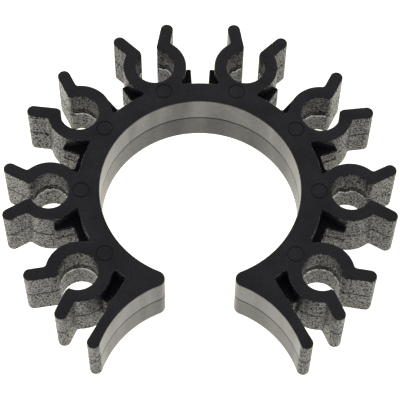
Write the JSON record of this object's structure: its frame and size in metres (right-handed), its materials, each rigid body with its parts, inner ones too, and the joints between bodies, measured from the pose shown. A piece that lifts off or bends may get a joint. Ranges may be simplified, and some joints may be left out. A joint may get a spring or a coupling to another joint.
{
  "type": "clip-on post ring with rod clips",
  "caption": "Open plastic snap ring that grips a round post, with outward-facing sprung clips for thin rods and flared lead-in jaws at its opening.",
  "frame": {"origin": "axis of the post grip at the lower face", "axes": "+Z along the post axis, upwards; the jaws open towards -Y; +X across the opening"},
  "size_m": [0.0944, 0.0884, 0.0155],
  "materials": {
    "moulding": "satin upper face, spark-eroded texture on the side walls"
  },
  "bodies": {
    "crown": {"crown_ring": "moulding", "left_clip_1_seat": "moulding", "right_clip_1_seat": "moulding"},
    "left_segment_2": {"left_ring_segment_2": "moulding", "left_clip_2_seat": "moulding"},
    "left_segment_3": {"left_ring_segment_3": "moulding", "left_clip_3_seat": "moulding"},
    "left_segment_4": {"left_ring_segment_4": "moulding", "left_clip_4_seat": "moulding", "left_jaw": "moulding"},
    "left_clip_1_crown_finger": {"left_clip_1_crown_finger": "moulding"},
    "left_clip_1_jaw_finger": {"left_clip_1_jaw_finger": "moulding"},
    "left_clip_2_crown_finger": {"left_clip_2_crown_finger": "moulding"},
    "left_clip_2_jaw_finger": {"left_clip_2_jaw_finger": "moulding"},
    "left_clip_3_crown_finger": {"left_clip_3_crown_finger": "moulding"},
    "left_clip_3_jaw_finger": {"left_clip_3_jaw_finger": "moulding"},
    "left_clip_4_crown_finger": {"left_clip_4_crown_finger": "moulding"},
    "left_clip_4_jaw_finger": {"left_clip_4_jaw_finger": "moulding"},
    "right_segment_2": {"right_ring_segment_2": "moulding", "right_clip_2_seat": "moulding"},
    "right_segment_3": {"right_ring_segment_3": "moulding", "right_clip_3_seat": "moulding"},
    "right_segment_4": {"right_ring_segment_4": "moulding", "right_clip_4_seat": "moulding", "right_jaw": "moulding"},
    "right_clip_1_crown_finger": {"right_clip_1_crown_finger": "moulding"},
    "right_clip_1_jaw_finger": {"right_clip_1_jaw_finger": "moulding"},
    "right_clip_2_crown_finger": {"right_clip_2_crown_finger": "moulding"},
    "right_clip_2_jaw_finger": {"right_clip_2_jaw_finger": "moulding"},
    "right_clip_3_crown_finger": {"right_clip_3_crown_finger": "moulding"},
    "right_clip_3_jaw_finger": {"right_clip_3_jaw_finger": "moulding"},
    "right_clip_4_crown_finger": {"right_clip_4_crown_finger": "moulding"},
    "right_clip_4_jaw_finger": {"right_clip_4_jaw_finger": "moulding"}
  },
  "joints": [
    {"name": "left_ring_flexure_1", "type": "hinge", "parent": "crown", "child": "left_segment_2", "pos_m": [-0.01592, 0.02143, 0.00775], "axis": [0, 0, -1], "range_deg": [0, 12.6], "stiffness_Nm_per_rad": 6.4},
    {"name": "left_ring_flexure_2", "type": "hinge", "parent": "left_segment_2", "child": "left_segment_3", "pos_m": [-0.02556, 0.00772, 0.00775], "axis": [0, 0, -1], "range_deg": [0, 8.8]},
    {"name": "left_ring_flexure_3", "type": "hinge", "parent": "left_segment_3", "child": "left_segment_4", "pos_m": [-0.02512, -0.00904, 0.00775], "axis": [0, 0, -1], "range_deg": [0, 4.2]},
    {"name": "left_clip_1_crown_flexure", "type": "hinge", "parent": "crown", "child": "left_clip_1_crown_finger", "pos_m": [-0.00522, 0.03551, 0.00775], "axis": [0, 0, -1], "range_deg": [0, 22.5], "stiffness_Nm_per_rad": 0.3},
    {"name": "left_clip_1_jaw_flexure", "type": "hinge", "parent": "crown", "child": "left_clip_1_jaw_finger", "pos_m": [-0.01698, 0.03162, 0.00775], "axis": [0, 0, 1], "range_deg": [0, 22.5], "stiffness_Nm_per_rad": 0.3},
    {"name": "left_clip_2_crown_flexure", "type": "hinge", "parent": "left_segment_2", "child": "left_clip_2_crown_finger", "pos_m": [-0.02536, 0.02539, 0.00775], "axis": [0, 0, -1], "range_deg": [0, 22.5], "stiffness_Nm_per_rad": 0.3},
    {"name": "left_clip_2_jaw_flexure", "type": "hinge", "parent": "left_segment_2", "child": "left_clip_2_jaw_finger", "pos_m": [-0.03248, 0.01526, 0.00775], "axis": [0, 0, 1], "range_deg": [0, 22.5], "stiffness_Nm_per_rad": 0.3},
    {"name": "left_clip_3_crown_flexure", "type": "hinge", "parent": "left_segment_3", "child": "left_clip_3_crown_finger", "pos_m": [-0.0355, 0.00526, 0.00775], "axis": [0, 0, -1], "range_deg": [0, 22.5], "stiffness_Nm_per_rad": 0.3},
    {"name": "left_clip_3_jaw_flexure", "type": "hinge", "parent": "left_segment_3", "child": "left_clip_3_jaw_finger", "pos_m": [-0.03517, -0.00711, 0.00775], "axis": [0, 0, 1], "range_deg": [0, 22.5], "stiffness_Nm_per_rad": 0.3},
    {"name": "left_clip_4_crown_flexure", "type": "hinge", "parent": "left_segment_4", "child": "left_clip_4_crown_finger", "pos_m": [-0.03164, -0.01694, 0.00775], "axis": [0, 0, -1], "range_deg": [0, 22.5], "stiffness_Nm_per_rad": 0.3},
    {"name": "left_clip_4_jaw_flexure", "type": "hinge", "parent": "left_segment_4", "child": "left_clip_4_jaw_finger", "pos_m": [-0.024, -0.02668, 0.00775], "axis": [0, 0, 1], "range_deg": [0, 22.5], "stiffness_Nm_per_rad": 0.3},
    {"name": "right_ring_flexure_1", "type": "hinge", "parent": "crown", "child": "right_segment_2", "pos_m": [0.01592, 0.02143, 0.00775], "axis": [0, 0, 1], "range_deg": [0, 12.6], "stiffness_Nm_per_rad": 6.4},
    {"name": "right_ring_flexure_2", "type": "hinge", "parent": "right_segment_2", "child": "right_segment_3", "pos_m": [0.02556, 0.00772, 0.00775], "axis": [0, 0, 1], "range_deg": [0, 8.8]},
    {"name": "right_ring_flexure_3", "type": "hinge", "parent": "right_segment_3", "child": "right_segment_4", "pos_m": [0.02512, -0.00904, 0.00775], "axis": [0, 0, 1], "range_deg": [0, 4.2]},
    {"name": "right_clip_1_crown_flexure", "type": "hinge", "parent": "crown", "child": "right_clip_1_crown_finger", "pos_m": [0.00522, 0.03551, 0.00775], "axis": [0, 0, 1], "range_deg": [0, 22.5], "stiffness_Nm_per_rad": 0.3},
    {"name": "right_clip_1_jaw_flexure", "type": "hinge", "parent": "crown", "child": "right_clip_1_jaw_finger", "pos_m": [0.01698, 0.03162, 0.00775], "axis": [0, 0, -1], "range_deg": [0, 22.5], "stiffness_Nm_per_rad": 0.3},
    {"name": "right_clip_2_crown_flexure", "type": "hinge", "parent": "right_segment_2", "child": "right_clip_2_crown_finger", "pos_m": [0.02536, 0.02539, 0.00775], "axis": [0, 0, 1], "range_deg": [0, 22.5], "stiffness_Nm_per_rad": 0.3},
    {"name": "right_clip_2_jaw_flexure", "type": "hinge", "parent": "right_segment_2", "child": "right_clip_2_jaw_finger", "pos_m": [0.03248, 0.01526, 0.00775], "axis": [0, 0, -1], "range_deg": [0, 22.5], "stiffness_Nm_per_rad": 0.3},
    {"name": "right_clip_3_crown_flexure", "type": "hinge", "parent": "right_segment_3", "child": "right_clip_3_crown_finger", "pos_m": [0.0355, 0.00526, 0.00775], "axis": [0, 0, 1], "range_deg": [0, 22.5], "stiffness_Nm_per_rad": 0.3},
    {"name": "right_clip_3_jaw_flexure", "type": "hinge", "parent": "right_segment_3", "child": "right_clip_3_jaw_finger", "pos_m": [0.03517, -0.00711, 0.00775], "axis": [0, 0, -1], "range_deg": [0, 22.5], "stiffness_Nm_per_rad": 0.3},
    {"name": "right_clip_4_crown_flexure", "type": "hinge", "parent": "right_segment_4", "child": "right_clip_4_crown_finger", "pos_m": [0.03164, -0.01694, 0.00775], "axis": [0, 0, 1], "range_deg": [0, 22.5], "stiffness_Nm_per_rad": 0.3},
    {"name": "right_clip_4_jaw_flexure", "type": "hinge", "parent": "right_segment_4", "child": "right_clip_4_jaw_finger", "pos_m": [0.024, -0.02668, 0.00775], "axis": [0, 0, -1], "range_deg": [0, 22.5], "stiffness_Nm_per_rad": 0.3}
  ],
  "couplings": [
    {"joint": "left_ring_flexure_2", "follows": "left_ring_flexure_1", "ratio": 0.69841},
    {"joint": "left_ring_flexure_3", "follows": "left_ring_flexure_1", "ratio": 0.33333},
    {"joint": "right_ring_flexure_2", "follows": "right_ring_flexure_1", "ratio": 0.69841},
    {"joint": "right_ring_flexure_3", "follows": "right_ring_flexure_1", "ratio": 0.33333}
  ]
}
